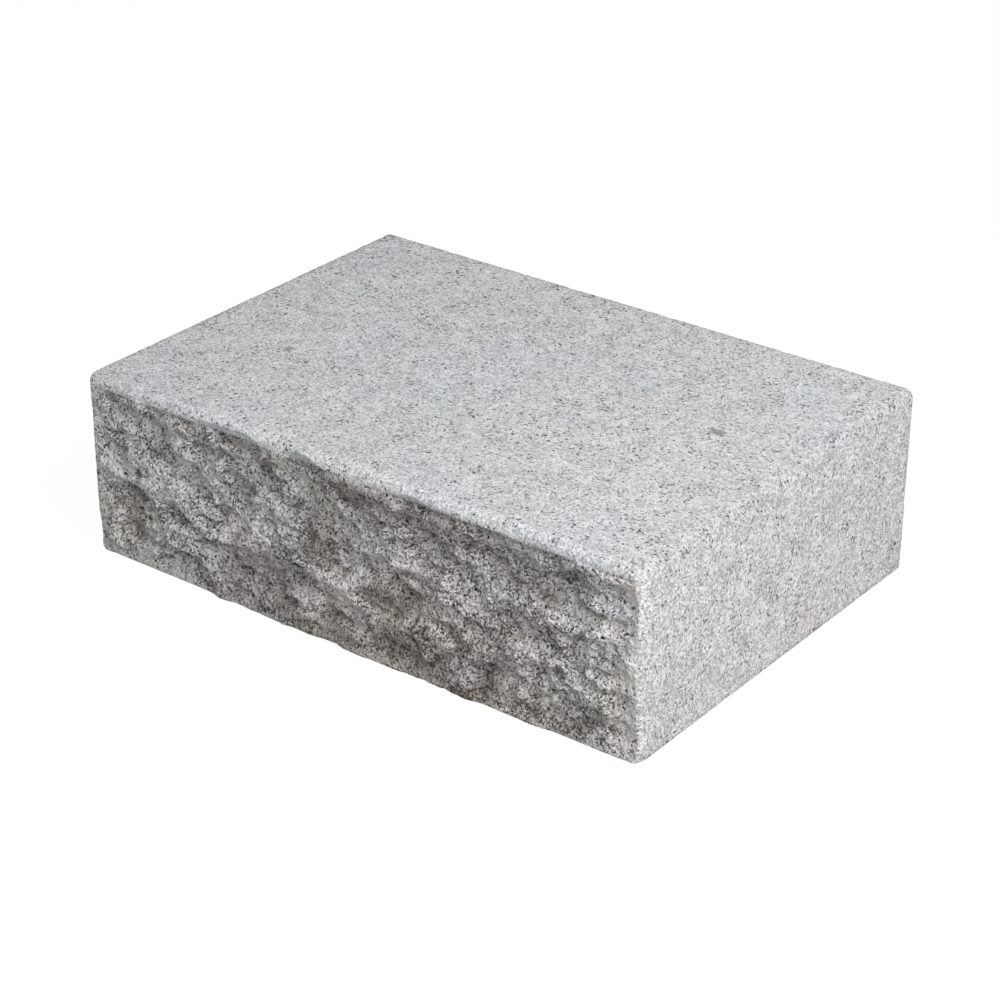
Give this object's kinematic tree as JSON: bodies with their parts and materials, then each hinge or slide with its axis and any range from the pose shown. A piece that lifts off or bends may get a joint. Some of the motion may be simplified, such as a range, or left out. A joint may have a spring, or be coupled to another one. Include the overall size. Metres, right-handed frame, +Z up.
{
  "type": "granite step",
  "caption": "Solid granite block step with a flat tread, plain back and ends, eased edges and a rock-faced front that bulges slightly.",
  "frame": {"origin": "on the bed, in the middle of the block's length and depth", "axes": "+X along the step to the right seen from the front, -Y out of the rock-faced front, +Z up to the tread"},
  "size_m": [0.5, 0.354, 0.15],
  "materials": {
    "granite": "speckled grey granite, flamed and matt on the tread, bed, back and ends, rough as broken on the front"
  },
  "bodies": {
    "root": {"step_block": "granite"}
  },
  "joints": []
}
